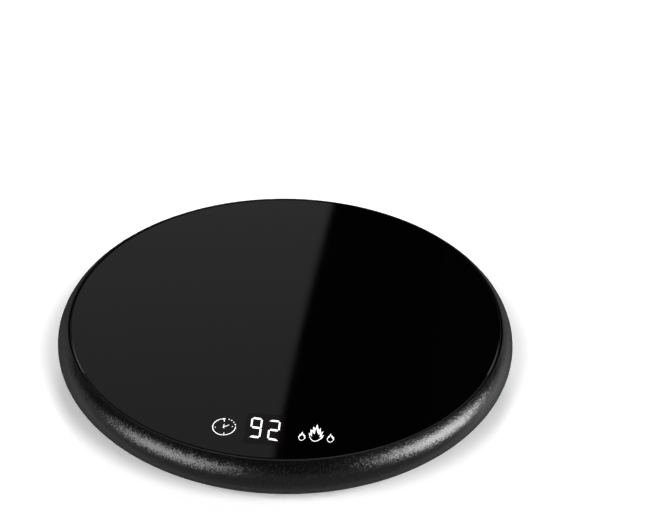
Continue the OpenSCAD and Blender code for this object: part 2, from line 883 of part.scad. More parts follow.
// Moulded box with its upper edges bevelled and a small standoff at each end
module film_capacitor() {
  size = [11, 9, 4.6];
  bevel = 0.7;
  color("#d9a520") on_power(14.4) rotate([90, 0, 90]) translate([0, 0, -size.x / 2]) {
    linear_extrude(size.x) polygon([[-size.y / 2, 0.3], [size.y / 2, 0.3], [size.y / 2, size.z - bevel],
      [size.y / 2 - bevel, size.z], [bevel - size.y / 2, size.z], [-size.y / 2, size.z - bevel]]);
    for (z = [0, size.x - 1]) translate([-size.y / 2 + 1, 0, z]) cube([size.y - 2, 0.4, 1]);
  }
}

// Lies on its side, with the pressed groove near its base
module smoothing_capacitor() {
  r = 2.5;
  l = 11;
  color("#1d2c55") on_power(-16.1) translate([-l / 2, 0, r]) rotate([0, 90, 0]) rotate_extrude()
    difference() {
      square([r, l]);
      translate([r + 0.3, 1.8]) circle(0.6);
    }
}

// Drum core with its winding between two flanges
module choke() {
  color("#3a3330") on_power(-8.2) rotate_extrude() difference() {
    square([4, 4.6]);
    translate([4.6, 2.3]) circle(1.5);
  }
}

module triac() {
  color("#2a2a2c") on_power(3.4, 1.8) {
    translate([0.6, 0, 0.5]) block([7, 6.4, 3]);
    difference() {
      translate([-0.4, 0, 0]) block([9.8, 6.4, 0.5 + eps]);
      translate([-4.1, 0, -1]) cylinder(r = 0.8, h = 4);
    }
  }
}

module board_fuse() {
  cap_l = 2.4;
  length = 10;
  color("#e6e2d6") on_power(23.2) translate([-length / 2, 0, 1.85]) rotate([0, 90, 0]) {
    cylinder(r = 1.6, h = length);
    for (z = [0, length - cap_l]) translate([0, 0, z]) cylinder(r = 1.85, h = cap_l);
  }
}

// Two-way terminal for the mains cord: two wire openings towards the rear and two screw wells on top
module mains_terminal() {
  size = [8, 5.6, 4.8];
  way = 4;
  color("#2f6f3e") on_power(29.9, -1.5) difference() {
    block(size);
    for (side = [-1, 1]) translate([side * way / 2, 0, 0]) {
      translate([0, size.y / 2 - 3, 1.9]) rotate([-90, 0, 0]) cylinder(r = 1.1, h = through);
      translate([0, 0, 2.6]) cylinder(r = 1.3, h = through);
    }
  }
}

module power_header() {
  color("#f2efe4") at_power_header() connector(link_ways);
}

// ---------------------------------------------------------------- wires

wire_r = 0.7;
thin_r = 0.4;

// Insulated leads. One runs from the ribbon to the power board, the other goes there by the thermal fuse.
module heater_leads() {
  low = retainer_z - 1.5;
  crimp = fuse_l / 2 + fuse_crimp;
  start = [terminal_x, terminal_y, ribbon_z - 0.02];
  turned = [start.x, -start.y, start.z];
  pads = [polar(-2.4, bay_in + 1.2, power_top + 0.05), polar(1.2, bay_in + 1.2, power_top + 0.05)];
  color("#d9d4c8") {
    // From the ribbon to the board
    tube(smooth([turned, turned - [0, 0, 1], [turned.x, turned.y, retainer_z + 0.4],
      [turned.x + 1.4, turned.y + 0.3, low],
      [pads[0].x - 2, pads[0].y - 0.6, low + 1.4], pads[0] + [-0.3, 0, 1.9], pads[0] + [0, 0, 0.9], pads[0]]),
      wire_r, 8, [0.3, 1, 0]);
    // From the ribbon to the fuse
    tube(smooth([start, start - [0, 0, 1], [start.x, start.y, retainer_z + 0.4],
      [start.x - 1.6, start.y + 1.4, low],
      [fuse_x + 5, crimp + 3.4, low], [fuse_x + 0.6, crimp + 2.6, fuse_z - 1.6],
      [fuse_x, crimp + 0.9, fuse_z], [fuse_x, crimp + 0.4, fuse_z], [fuse_x, crimp + 0.02, fuse_z]]),
      wire_r, 8, [0.9, 0.3, 0.1]);
    // From the fuse to the board
    tube(smooth([[fuse_x, -crimp - 0.02, fuse_z], [fuse_x, -crimp - 0.4, fuse_z],
      [fuse_x, -crimp - 0.9, fuse_z], [fuse_x + 0.6, -crimp - 2.6, fuse_z - 1.6],
      [fuse_x + 4, -crimp - 1, low - 0.8], [fuse_x + 9, 0, low - 0.8],
      [pads[1].x - 2.6, pads[1].y, low + 0.8],
      pads[1] + [-0.3, 0, 1.9], pads[1] + [0, 0, 0.9], pads[1]]), wire_r, 8, [0.3, 1, 0.2]);
  }
}

// Two thin leads, from the thermistor under the retainer to the plug in the control board's socket
module sensor_leads() {
  a = sensor_socket_angle;
  low = socket_level;
  face = bay_in + 0.6 - plug_out;
  sideways = [-sin(a), cos(a), 0];
  start_gap = 0.6;
  plug_gap = pin_pitch / 2;
  color("#2f3136") for (side = [-1, 1])
    tube(smooth([[side * start_gap, 0, sensor_z - 0.05], [side * start_gap, 0, sensor_z - 0.3],
      [side * start_gap, 0, sensor_z - 0.6],
      polar(a, 0.9, low - 0.2) + side * start_gap * sideways,
      polar(a, 3, low - 0.6) + side * start_gap * sideways,
      polar(a, 22, low - 0.6) + side * start_gap * sideways,
      polar(a, face - 5, low) + side * 0.9 * sideways,
      polar(a, face - 1, low) + side * plug_gap * sideways,
      polar(a, face, low) + side * plug_gap * sideways,
      polar(a, face + 1, low) + side * plug_gap * sideways]), thin_r, 8, [1, 0.2, 0.1]);
}

module sensor_plug() {
  color("#ece8da") at_sensor_socket() plug(sensor_ways);
}

module link_plugs() {
  color("#ece8da") {
    at_control_socket() plug(link_ways);
    at_power_header() plug(link_ways);
  }
}

// Point in front of a connector on the ring of radius header_r. turn is 1 or -1, the way the mouth looks.
function before(angle, z, turn, distance, offset) =
  polar(angle, header_r + offset, z) + turn * distance * [-sin(angle), cos(angle), 0];

// Four-way cable between the two boards. Its ways lie side by side and dip under the retainer's ear.
module link_cable() {
  face = connector_l / 2 + plug_out;
  header_level = power_top + connector_h / 2;
  neat = 2 * thin_r + 0.3;
  dip_r = min(boss_ring - post_r - 2.2, header_r - 1.5); // clear of the base's post
  // Each point between the plugs: angle, radius, height and distance between the ways
  route = [
    [-36, header_r - 1.3, header_level - 0.1, 1.4],
    [-43, dip_r, floor_z + 2.4, neat],
    [-49, dip_r - 0.3, floor_z + 1.8, neat],
    [-56, header_r - 1.5, floor_z + 2, 1.3],
  ];
  ends = [-1, 0.3, 1.2]; // distances from a plug's face
  color("#8d8f94") for (k = [0:link_ways - 1]) {
    way = k - (link_ways - 1) / 2;
    tube(smooth(concat(
      [for (d = ends) before(power_header_angle, header_level, -1, face + d, way * pin_pitch)],
      [for (p = route) polar(p[0], p[1] + way * p[3], p[2])],
      [for (i = [2:-1:0]) before(control_socket_angle, socket_level, 1, face + ends[i], way * pin_pitch)])),
      thin_r, 8, [cos(-47), sin(-47), 0]);
  }
}

upper_housing();
bottom_cover();
glass_panel();
glass_tape();
rubber_foot(foot_angles[0]);  // rubber_foot_1
rubber_foot(foot_angles[1]);  // rubber_foot_2
rubber_foot(foot_angles[2]);  // rubber_foot_3
rubber_foot(foot_angles[3]);  // rubber_foot_4
housing_screws();
cord_gland();
thermal_pad();
heating_plate();
upper_mica_sheet();
heating_element();
lower_mica_sheet();
insulation_felt();
heater_retainer();
retainer_screws();
sensor_bush();
thermistor();
thermal_fuse();
fuse_clip();
control_board();
display_module();
display_bars();
touch_spring(-key_x, timer_spring_r);  // timer_touch_spring
touch_spring(key_x, heat_spring_r);  // heat_touch_spring
timer_light_cup();
heat_light_cup();
timer_led();
heat_leds();
microcontroller();
buzzer();
control_socket();
sensor_socket();
control_board_screws();
power_board();
film_capacitor();
smoothing_capacitor();
triac();
choke();
board_fuse();
mains_terminal();
power_header();
power_board_screws();
heater_leads();
sensor_leads();
sensor_plug();
link_cable();
link_plugs();
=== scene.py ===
# %% [markdown]
# # An electric mug warmer, finished in Blender
# The warmer is a low round plate: a black glass disc, set flush in a rounded rim of grained
# plastic, with lit signs at its front edge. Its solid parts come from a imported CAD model, which is
# loaded first and never changed. This file adds what CAD leaves out: the finishes, the lit signs,
# and the small studio that it is looked at in.
#
# All lengths in Blender are metres. The CAD drawing was made in millimetres, so MM turns one into
# the other, and sizes below can be read as a maker would write them.

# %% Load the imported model
import json
import math

import bpy
import numpy as np
from mathutils import Matrix, Quaternion, Vector


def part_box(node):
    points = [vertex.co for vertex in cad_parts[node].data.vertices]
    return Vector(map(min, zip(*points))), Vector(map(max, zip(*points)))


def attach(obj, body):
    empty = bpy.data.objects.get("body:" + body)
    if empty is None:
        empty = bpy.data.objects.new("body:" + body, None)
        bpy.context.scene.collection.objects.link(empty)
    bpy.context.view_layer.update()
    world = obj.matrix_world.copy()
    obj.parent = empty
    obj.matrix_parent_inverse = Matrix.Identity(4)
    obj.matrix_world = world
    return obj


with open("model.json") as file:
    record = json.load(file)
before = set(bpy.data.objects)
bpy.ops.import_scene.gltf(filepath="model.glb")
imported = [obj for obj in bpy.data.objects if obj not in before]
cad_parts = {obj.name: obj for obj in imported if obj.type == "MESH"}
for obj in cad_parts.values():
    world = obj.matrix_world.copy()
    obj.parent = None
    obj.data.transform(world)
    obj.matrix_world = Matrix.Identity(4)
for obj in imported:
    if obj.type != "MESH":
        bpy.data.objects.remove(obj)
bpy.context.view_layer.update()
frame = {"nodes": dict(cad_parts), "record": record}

MM = 0.001
nodes = frame["nodes"]
glass_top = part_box("glass_panel")[1].z

# %% [markdown]
# ## The camera
# A camera is placed by where it stands, where it looks and how much it is rolled. One could turn it
# with Euler angles and try until it fits. Three unit vectors are easier to trust: the look, and
# what is right and up in the camera's view. They are the columns of its rotation, and nothing is
# left to a rotation order. The lens is long, so the rim keeps its round form.

# %% Camera
CAMERA_PLACE = Vector((0.0211, -0.2742, 0.2210))
LOOK = Vector((-0.0333, 0.8262, -0.5624)).normalized()
ROLL = 0.03185  # radians, which lowers the right side of the view a little
LENS = 67.24  # millimetres of focal length
SENSOR = 36  # millimetres across
NEAREST = 0.01  # metres from the camera to the first thing that it sees

across = LOOK.cross(Vector((0, 0, 1))).normalized()
above = across.cross(LOOK)
view_right = math.cos(ROLL) * across + math.sin(ROLL) * above
view_up = math.cos(ROLL) * above - math.sin(ROLL) * across
turn = Matrix((view_right, view_up, -LOOK)).transposed()

camera_data = bpy.data.cameras.new("studio_camera")
camera_data.lens = LENS
camera_data.sensor_width = SENSOR
camera_data.clip_start = NEAREST
camera = bpy.data.objects.new("studio_camera", camera_data)
camera.matrix_world = Matrix.Translation(CAMERA_PLACE) @ turn.to_4x4()
bpy.context.scene.collection.objects.link(camera)
bpy.context.scene.camera = camera
bpy.context.scene.view_settings.view_transform = "Standard"
print("camera", round(CAMERA_PLACE.length, 3), "m from the middle of the base")

# %% [markdown]
# ## Surfaces on a grid
# Every new piece here is a surface with two parameters: numpy works out a whole grid of points at
# once, and one helper turns such a grid into a mesh. Points could be added one by one with bmesh,
# but then the shape hides in loops. With a grid the shape is a formula, and the helper is the same
# for a floor, a card and a digit.

# %% Grid helper
def grid_piece(name, points, wrap=False):
    """Mesh from a grid of points, rows x columns x 3, in metres. Each quad joins four neighbours,
    and wrap joins the last column to the first."""
    rows, columns = points.shape[:2]
    number = np.arange(rows * columns).reshape(rows, columns)
    if wrap:
        number = np.hstack([number, number[:, :1]])
    quads = np.stack([number[:-1, :-1], number[:-1, 1:], number[1:, 1:], number[1:, :-1]], -1)
    mesh = bpy.data.meshes.new(name)
    mesh.from_pydata(points.reshape(-1, 3).tolist(), [], quads.reshape(-1, 4).tolist())
    piece = bpy.data.objects.new(name, mesh)
    bpy.context.scene.collection.objects.link(piece)
    return piece


# %% [markdown]
# ## Materials from nodes
# A finish is a Principled shader and a few textures that drive it. What is the same all over the
# surface is written on the shader's own sockets. What varies, such as grain or a tint, comes
# through a link. The next cell has small helpers for that, so that each finish below reads like
# its own recipe. Patterns are sized in millimetres on Object coordinates, which stay put on a part
# from whatever side it is seen.

# %% Material helpers
MOST = (0.3, 0.7)  # most of a noise lies between these two values


def finish(name, colour, roughness, **more):
    """A new node material. Returns it and its shader, with the constant values set."""
    made = bpy.data.materials.new(name)
    made.use_nodes = True
    shader = made.node_tree.nodes["Principled BSDF"]
    for socket, value in {"Base Color": (*colour, 1), "Roughness": roughness, **more}.items():
        shader.inputs[socket].default_value = value
    return made, shader


def node(made, kind, links=None, **settings):
    """A new node of a kind, with its properties set and its inputs linked or given a value."""
    new = made.node_tree.nodes.new("ShaderNode" + kind)
    for key, value in settings.items():
        setattr(new, key, value)
    for socket, value in (links or {}).items():
        if isinstance(value, bpy.types.NodeSocket):
            made.node_tree.links.new(value, new.inputs[socket])
        else:
            new.inputs[socket].default_value = value
    return new


def place_on(made, stretch=(1, 1, 1)):
    """Object coordinates in metres. A pattern gets longer along an axis that is stretched."""
    coordinates = node(made, "TexCoord").outputs["Object"]
    if stretch == (1, 1, 1):
        return coordinates
    scale = tuple(1 / s for s in stretch)
    return node(made, "Mapping", {"Vector": coordinates, "Scale": scale}).outputs["Vector"]


def noise(made, size_mm, detail=2.0, stretch=(1, 1, 1)):
    """Cloudy noise from 0 to 1, with lumps of about size_mm."""
    links = {"Vector": place_on(made, stretch), "Scale": 1 / (size_mm * MM), "Detail": detail}
    return node(made, "TexNoise", links).outputs["Fac"]


def cells(made, size_mm, output="Color", feature="F1"):
    """Voronoi cells of about size_mm: a random colour for each cell, or a distance in it."""
    links = {"Vector": place_on(made), "Scale": 1 / (size_mm * MM)}
    return node(made, "TexVoronoi", links, feature=feature).outputs[output]


def waves(made, scale, axis):
    """Even waves from 0 to 1 along an axis, 314 mm / scale apart."""
    links = {"Vector": place_on(made), "Scale": scale}
    return node(made, "TexWave", links, bands_direction=axis).outputs["Fac"]


def channel(made, colour, name):
    """One channel of a colour, Red, Green or Blue. In a cell's colour it is a random number."""
    return node(made, "SeparateColor", {"Color": colour}).outputs[name]


def maths(made, operation, *values, kind="Math"):
    """The result of a Math node, or of a VectorMath node where kind says so."""
    return node(made, kind, dict(enumerate(values)), operation=operation).outputs[0]


def spread(made, value, low, high, new_low, new_high):
    """Maps low..high to new_low..new_high and holds it there."""
    links = {"Value": value, "From Min": low, "From Max": high}
    links.update({"To Min": new_low, "To Max": new_high})
    return node(made, "MapRange", links).outputs["Result"]


def mixed(made, share, colour_a, colour_b):
    """Colour that goes from colour_a to colour_b as share goes from 0 to 1. A Mix node has sockets
    for each kind of value, and inputs 6 and 7 and output 2 are its colours."""
    links = {0: share, 6: (*colour_a, 1), 7: (*colour_b, 1)}
    return node(made, "Mix", links, data_type="RGBA").outputs[2]


def drive(made, shader, socket, value):
    """Lets a varying value drive a socket of the shader."""
    made.node_tree.links.new(value, shader.inputs[socket])


def tint(made, shader, share, colour_a, colour_b):
    """Base colour that goes from colour_a to colour_b as share goes from 0 to 1."""
    drive(made, shader, "Base Color", mixed(made, share, colour_a, colour_b))


def relief(made, shader, height, depth_mm, under=None):
    """Bump whose height 0..1 stands for depth_mm. under is another relief, or a direction of the
    surface, that it is laid over."""
    links = {"Height": height, "Distance": depth_mm * MM}
    if under is not None:
        links["Normal"] = under
    bump = node(made, "Bump", links).outputs["Normal"]
    drive(made, shader, "Normal", bump)
    return bump


# %% [markdown]
# ## The rim: spark-eroded black plastic
# The rim is moulded in a tool whose surface was eroded by sparks, so it carries a fine grain that
# breaks a highlight into glitter. A high roughness alone gives a dull, even band. A bump texture
# glitters, but its slopes run into each other and smear into streaks. Here each grain is a flat
# facet of a sixth of a millimetre. The colour of a Voronoi cell is three random numbers, and
# added to the surface's direction they lean that facet its own way. A shallow bump over them breaks
# up the outlines, and a few flecks are paler, which keeps it from looking printed. Where the
# surface is seen at a shallow angle, the grains hide each other's bright sides, so the roughness
# rises there.

# %% Rim plastic
BLACK = (0.002, 0.002, 0.0021)
PALE_FLECK = (0.014, 0.014, 0.0147)
FACET = 0.17  # millimetres across one grain
LEAN = 0.22  # how far a facet's direction may be off, from end to end
FLECK = 0.2  # millimetres across one fleck
FLECKS_FROM = 0.86  # cells with a random number above this are paler
POLISH = (0.21, 0.27)  # roughness of the facets, seen head on
SHALLOW = (0.4, 0.8)  # where shadowing starts and ends, if 0 is head on and 1 along the surface
SHADOWING = 0.75  # roughness that it adds where it ends

rim_plastic, shader = finish("rim_grain", BLACK, 0.3, **{"Specular IOR Level": 0.15})
random_lean = cells(rim_plastic, FACET)
lean = maths(rim_plastic, "MULTIPLY_ADD", random_lean, (LEAN,) * 3, (-LEAN / 2,) * 3,
             kind="VectorMath")
straight = node(rim_plastic, "NewGeometry").outputs["Normal"]
leaning = maths(rim_plastic, "ADD", straight, lean, kind="VectorMath")
leaning = maths(rim_plastic, "NORMALIZE", leaning, kind="VectorMath")
relief(rim_plastic, shader, noise(rim_plastic, 0.3), 0.01, under=leaning)

polish = spread(rim_plastic, noise(rim_plastic, 0.8), *MOST, *POLISH)
glance = node(rim_plastic, "LayerWeight", {"Blend": 0.5}).outputs["Facing"]
shadowing = spread(rim_plastic, glance, *SHALLOW, 0.0, SHADOWING)
drive(rim_plastic, shader, "Roughness", maths(rim_plastic, "ADD", polish, shadowing))

fleck = channel(rim_plastic, cells(rim_plastic, FLECK), "Red")
pale = spread(rim_plastic, fleck, FLECKS_FROM, 1.0, 0.0, 1.0)
tint(rim_plastic, shader, pale, BLACK, PALE_FLECK)
print("rim plastic: facets of", FACET, "mm, off by up to", round(math.degrees(LEAN / 2), 1),
      "degrees along each axis")

# %% [markdown]
# ## The glass
# The plate is clear glass with a black print on its underside, so it reads as one deep black
# mirror. It could be built as clear glass over a black sheet, at the price of many light bounces.
# A black shader with a polished surface looks the same from outside. Hands leave a faint film on
# such a plate, so the roughness drifts a little over centimetres. The chamfer round the edge is
# ground and not polished, so it is rougher. Its colour is also a painted highlight. A paler grey,
# partly for the grinding and partly standing in for the light that the edge catches, draws the thin
# grey line between the mirror and the rim. It is told from the face by its distance from the axis.

# %% Glass
GLASS_BLACK = (0.0006, 0.0006, 0.0007)
# paler grey of the chamfer: partly ground glass, partly a painted highlight along the edge
GROUND_GREY_AND_HIGHLIGHT = (0.018, 0.018, 0.018)
GROUND_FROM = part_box("glass_panel")[1].x - 0.24 * MM  # where the glass's chamfer begins
GROUND_STEP = 0.03 * MM  # over which polished turns to ground
GROUND_ROUGH = 0.22  # roughness that grinding adds
FILM = (0.02, 0.045)  # roughness of the face, clean and touched

black_glass, shader = finish("black_glass", GLASS_BLACK, 0.03, IOR=1.5)
film = spread(black_glass, noise(black_glass, 22.0, detail=3.0), 0.35, 0.7, *FILM)
sideways = maths(black_glass, "MULTIPLY", place_on(black_glass), (1, 1, 0), kind="VectorMath")
radius = node(black_glass, "VectorMath", {0: sideways}, operation="LENGTH").outputs["Value"]
# the chamfer, where grinding roughens the glass and a painted highlight makes it paler
ground_and_highlight = spread(black_glass, radius, GROUND_FROM, GROUND_FROM + GROUND_STEP, 0.0, 1.0)
rough = maths(black_glass, "MULTIPLY_ADD", ground_and_highlight, GROUND_ROUGH, film)
drive(black_glass, shader, "Roughness", rough)
# painted highlight: the chamfer is tinted paler for the light its edge catches, and for the grinding
tint(black_glass, shader, ground_and_highlight, GLASS_BLACK, GROUND_GREY_AND_HIGHLIGHT)
print("glass: roughness", *FILM, "and ground beyond", round(GROUND_FROM / MM, 2), "mm")

# %% [markdown]
# ## Plastics, rubbers and ceramics
# Most of the other parts are moulded, dipped or fired. What tells them apart at arm's length is
# colour, gloss and the size of the surface's grain, so one recipe with those values makes them
# all. Writing each one out would hide how alike they are.

# %% Moulded finishes
def moulded(name, colour, roughness, grain_mm, depth_mm, shift=0.15):
    """A moulded surface: bumps of grain_mm, depth_mm deep, and over ten grains a drift of tint and
    gloss, up and down by the part that shift gives."""
    made, shader = finish(name, colour, roughness)
    relief(made, shader, noise(made, grain_mm), depth_mm)
    drift = noise(made, grain_mm * 10, detail=3.0)
    darker = tuple(c * (1 - shift) for c in colour)
    lighter = tuple(min(1, c * (1 + shift)) for c in colour)
    tint(made, shader, drift, darker, lighter)
    low, high = roughness * (1 - shift), min(1, roughness * (1 + shift))
    drive(made, shader, "Roughness", spread(made, drift, *MOST, low, high))
    return made


slots = {
    "rim_plastic": rim_plastic,
    "black_glass": black_glass,
    "base_plastic": moulded("base_grain", (0.012, 0.012, 0.0125), 0.5, 0.5, 0.05),
    "adhesive_tape": moulded("foam_tape", (0.03, 0.03, 0.03), 0.9, 0.3, 0.08),
    "foot_rubber": moulded("foot_rubber", (0.035, 0.035, 0.037), 0.75, 0.35, 0.03, 0.25),
    "gland_rubber": moulded("gland_rubber", (0.014, 0.014, 0.015), 0.55, 0.3, 0.02),
    "pad_silicone": moulded("pad_silicone", (0.42, 0.44, 0.47), 0.6, 0.4, 0.01),
    "steatite": moulded("steatite", (0.8, 0.76, 0.68), 0.55, 0.15, 0.01, 0.06),
    "sensor_body": moulded("dipped_bead", (0.05, 0.055, 0.07), 0.25, 0.6, 0.02),
    "display_body": moulded("display_body", (0.7, 0.7, 0.67), 0.5, 0.2, 0.005, 0.05),
    "white_plastic": moulded("natural_nylon", (0.8, 0.78, 0.72), 0.45, 0.25, 0.008, 0.05),
    "led_resin": moulded("led_resin", (0.85, 0.85, 0.78), 0.15, 0.5, 0.01, 0.05),
    "component_black": moulded("moulded_epoxy", (0.025, 0.025, 0.026), 0.6, 0.12, 0.012),
    "capacitor_yellow": moulded("capacitor_box", (0.65, 0.36, 0.02), 0.3, 0.5, 0.01, 0.08),
    "capacitor_sleeve": moulded("shrink_sleeve", (0.015, 0.03, 0.12), 0.25, 0.7, 0.02),
    "terminal_green": moulded("terminal_body", (0.03, 0.2, 0.07), 0.45, 0.3, 0.01),
    "wire_black": moulded("wire_black", (0.02, 0.02, 0.024), 0.45, 0.25, 0.006),
    "wire_grey": moulded("wire_grey", (0.22, 0.23, 0.25), 0.45, 0.25, 0.006),
}
print(len(slots), "finishes so far")

# %% [markdown]
# ## Metals
# Sheet metal keeps the marks of the rolls, long and thin along one direction. A noise stretched
# along that direction gives both the fine lines and the slight change in gloss. An anisotropic
# shader would stretch the highlights too, but shows no lines from close by. Galvanised steel also
# shows its zinc crystals, flat cells that each shine a little differently.

# %% Metal finishes
DULLEST = 1.25  # times the usual roughness, in the dullest lines
BRIGHTEST = 0.8  # times the usual roughness, in the brightest lines
STAINED = 0.88  # times the usual colour, where the metal is stained


def rolled(name, colour, roughness, stretch=(12, 1, 1), line_mm=0.12, depth_mm=0.004):
    """Bare metal with lines along the stretched axis, line_mm wide and depth_mm deep."""
    made, shader = finish(name, colour, roughness, Metallic=1.0)
    lines = noise(made, line_mm, stretch=stretch)
    relief(made, shader, lines, depth_mm)
    low, high = roughness * BRIGHTEST, roughness * DULLEST
    drive(made, shader, "Roughness", spread(made, lines, *MOST, low, high))
    stain = noise(made, 6.0, detail=4.0)
    tint(made, shader, stain, tuple(c * STAINED for c in colour), colour)
    return made


slots["screw_steel"] = rolled("plated_steel", (0.5, 0.5, 0.51), 0.32, (1, 1, 1), 0.2)
slots["plate_aluminium"] = rolled("rolled_aluminium", (0.8, 0.8, 0.82), 0.35)
slots["ribbon_alloy"] = rolled("ribbon_alloy", (0.36, 0.27, 0.19), 0.45, (4, 4, 1), 0.3)
slots["fuse_brass"] = rolled("brass_can", (0.72, 0.53, 0.24), 0.3, (1, 12, 1))
slots["spring_steel"] = rolled("plated_spring", (0.75, 0.58, 0.28), 0.25, (1, 1, 1), 0.1)

pressed_steel, shader = finish("galvanised_sheet", (0.55, 0.56, 0.57), 0.38, Metallic=1.0)
crystal = channel(pressed_steel, cells(pressed_steel, 3.0), "Green")
tint(pressed_steel, shader, crystal, (0.45, 0.46, 0.47), (0.64, 0.65, 0.66))
drive(pressed_steel, shader, "Roughness", spread(pressed_steel, crystal, 0.0, 1.0, 0.3, 0.48))
relief(pressed_steel, shader, noise(pressed_steel, 0.3), 0.006)
slots["pressed_steel"] = pressed_steel
print(len(slots), "finishes so far")

# %% [markdown]
# ## Sheets, boards and sleeves
# A few inner parts have a pattern of their own. Mica is a pressed stack of flakes. The felt is
# loose ceramic fibre. A circuit board shows copper tracks as slightly lighter bands under green
# lacquer. Glass sleeving is braided, which two crossing waves can stand for, and the choke's wire
# lies in even turns. All of this is finer than a mesh should be, so textures draw it.

# %% Patterned finishes
mica, shader = finish("mica", (0.5, 0.4, 0.24), 0.4, **{"Coat Weight": 0.3})
flake = channel(mica, cells(mica, 2.5), "Red")
tint(mica, shader, flake, (0.4, 0.31, 0.17), (0.62, 0.52, 0.34))
relief(mica, shader, flake, 0.02)
slots["mica"] = mica

felt, shader = finish("ceramic_felt", (0.8, 0.78, 0.72), 0.95)
fibre = noise(felt, 0.2, detail=4.0, stretch=(8, 1, 1))
cross = noise(felt, 0.2, detail=4.0, stretch=(1, 8, 1))
first = relief(felt, shader, fibre, 0.15)
relief(felt, shader, cross, 0.15, under=first)
tint(felt, shader, noise(felt, 1.5), (0.7, 0.67, 0.6), (0.88, 0.86, 0.82))
slots["felt"] = felt

board, shader = finish("lacquered_board", (0.02, 0.15, 0.055), 0.3, **{"Coat Weight": 0.5})
edges = cells(board, 2.2, "Distance", "DISTANCE_TO_EDGE")
track = spread(board, edges, 0.06, 0.12, 1.0, 0.0)
tint(board, shader, track, (0.012, 0.11, 0.04), (0.035, 0.2, 0.08))
relief(board, shader, track, 0.03)
slots["board_green"] = board

sleeve, shader = finish("braided_sleeve", (0.68, 0.65, 0.56), 0.8)
one_way, other_way = waves(sleeve, 900.0, "X"), waves(sleeve, 900.0, "Y")
first = relief(sleeve, shader, one_way, 0.04)
relief(sleeve, shader, other_way, 0.04, under=first)
tint(sleeve, shader, one_way, (0.58, 0.55, 0.46), (0.76, 0.73, 0.65))
slots["lead_sleeve"] = sleeve

winding, shader = finish("wound_ferrite", (0.05, 0.04, 0.038), 0.35)
turns = waves(winding, 1000.0, "Z")
relief(winding, shader, turns, 0.1)
tint(winding, shader, turns, (0.03, 0.025, 0.024), (0.09, 0.06, 0.045))
slots["ferrite"] = winding
print(len(slots), "finishes so far")

# %% [markdown]
# ## Light for the signs
# The signs are windows in the black print with white light behind them. They could be lamps, but a
# lamp has no shape of its own. So each is a thin piece that gives its own light, at a strength a
# little under 1, which reads as plain white and doesn't glare. The light is a touch weaker at
# random spots, as a diffuser's is. The display's window is tinted: it stays a warm near-black
# whatever the glass reflects beside it.

# %% Lit finishes
DIFFUSER = (0.9, 0.9, 0.9)
WEAKEST = 0.7  # of a sign's strength, at its weakest spots
WINDOW_BLACK = (0.0022, 0.0009, 0.0011)


def lit(name, strength):
    """White light through a diffuser, which is a little uneven over a millimetre."""
    made, shader = finish(name, DIFFUSER, 0.25, **{"Emission Color": (1, 1, 1, 1)})
    glow = spread(made, noise(made, 1.2), 0.35, 0.65, strength * WEAKEST, strength)
    drive(made, shader, "Emission Strength", glow)
    return made


sign_light = lit("sign_light", 0.82)
digit_light = lit("digit_light", 0.84)
dim_light = lit("dim_light", 0.3)
slots["display_light"] = digit_light

window_tint, shader = finish("window_tint", WINDOW_BLACK, 0.05, **{"Specular IOR Level": 0.3})
smear = spread(window_tint, noise(window_tint, 1.0), *MOST, 0.03, 0.07)
drive(window_tint, shader, "Roughness", smear)

# %% [markdown]
# ## Put the finishes on the solid parts
# The finishes could be put on the parts one by one, by name. The record already says which finish
# each CAD part has, so a loop over it forgets none. A part's mesh is never touched: only the
# material in its slots is swapped.

# %% Assign
for part in frame["record"]["subparts"]:
    solid = nodes[part["node"]]
    solid.data.materials.clear()
    solid.data.materials.append(slots[part["material_slot"]])

# %% [markdown]
# ## Signs on the glass
# All the signs are flat, so each is worked out in the plane of the glass, as a strip between two
# edges: P(t, q) = (1 - q) * one edge(t) + q * the other edge(t). The same rule draws a ring, a bar
# and a flame. Filled curves would do too, but their triangles come out long and uneven. A Solidify
# modifier gives each strip the thickness of a print, 0.012 mm.

# %% Sign helper
SIGN_LIFT = 0.006 * MM  # from the glass to the underside of a sign
PRINT = 0.012 * MM  # thickness of a sign


def sign(name, edge_a, edge_b, made, slot="display_light", rows=3, lift=SIGN_LIFT, wrap=False):
    """A flat strip between two edges, each a list of points in millimetres on the glass:
    P(t, q) = (1 - q) * edge_a(t) + q * edge_b(t). wrap joins its end to its start."""
    a, b = np.asarray(edge_a, float), np.asarray(edge_b, float)
    q = np.linspace(0, 1, rows)[:, None, None]
    flat = (1 - q) * a + q * b
    points = np.dstack([flat * MM, np.full(flat.shape[:2], glass_top + lift)])
    corner = np.cross(points[1, 0] - points[0, 0], points[0, 1] - points[0, 0])[2]
    faces_up = corner < 0
    piece = grid_piece(name, points if faces_up else points[::-1], wrap)
    piece.data.materials.append(made)
    thick = piece.modifiers.new("print", "SOLIDIFY")
    thick.thickness = PRINT
    thick.offset = 1
    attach(piece, "root")
    return piece


# %% [markdown]
# ### The two digits
# A seven-bar digit is a box of bars that nearly meet. Each bar is a strip round its own centre
# line, narrower at its ends, and an end that meets no other bar is cut at a slant. Working in the
# digit's own frame, from -1 to 1 across and up, lets the same bars make any digit, and two vectors
# say how wide, tall and tilted the digits stand.

# %% Digits
DIGIT_ACROSS = np.array([1.21, -0.14])  # from a digit's middle to its side, in millimetres
DIGIT_UP = np.array([0.0, 3.37])  # and to its top
SIDE_BAR = 0.43  # width of an upright bar
FLAT_BAR = 0.66  # width of a level bar
BAR_TRIM = 0.2  # how far a bar ends before its corner
TAPER = 0.6  # from a bar's end to its full width, in half widths
NARROW = 0.55  # width of an end that meets another bar, as a part of the full width
SLANT_KEPT = 0.6  # how much of an end's slant is left where the bar has its full width
BARS = {
    "top": ((-1, 1), (1, 1)), "middle": ((-1, 0), (1, 0)), "bottom": ((1, -1), (-1, -1)),
    "upper_left": ((-1, 0), (-1, 1)), "lower_left": ((-1, -1), (-1, 0)),
    "upper_right": ((1, 1), (1, 0)), "lower_right": ((1, 0), (1, -1)),
}


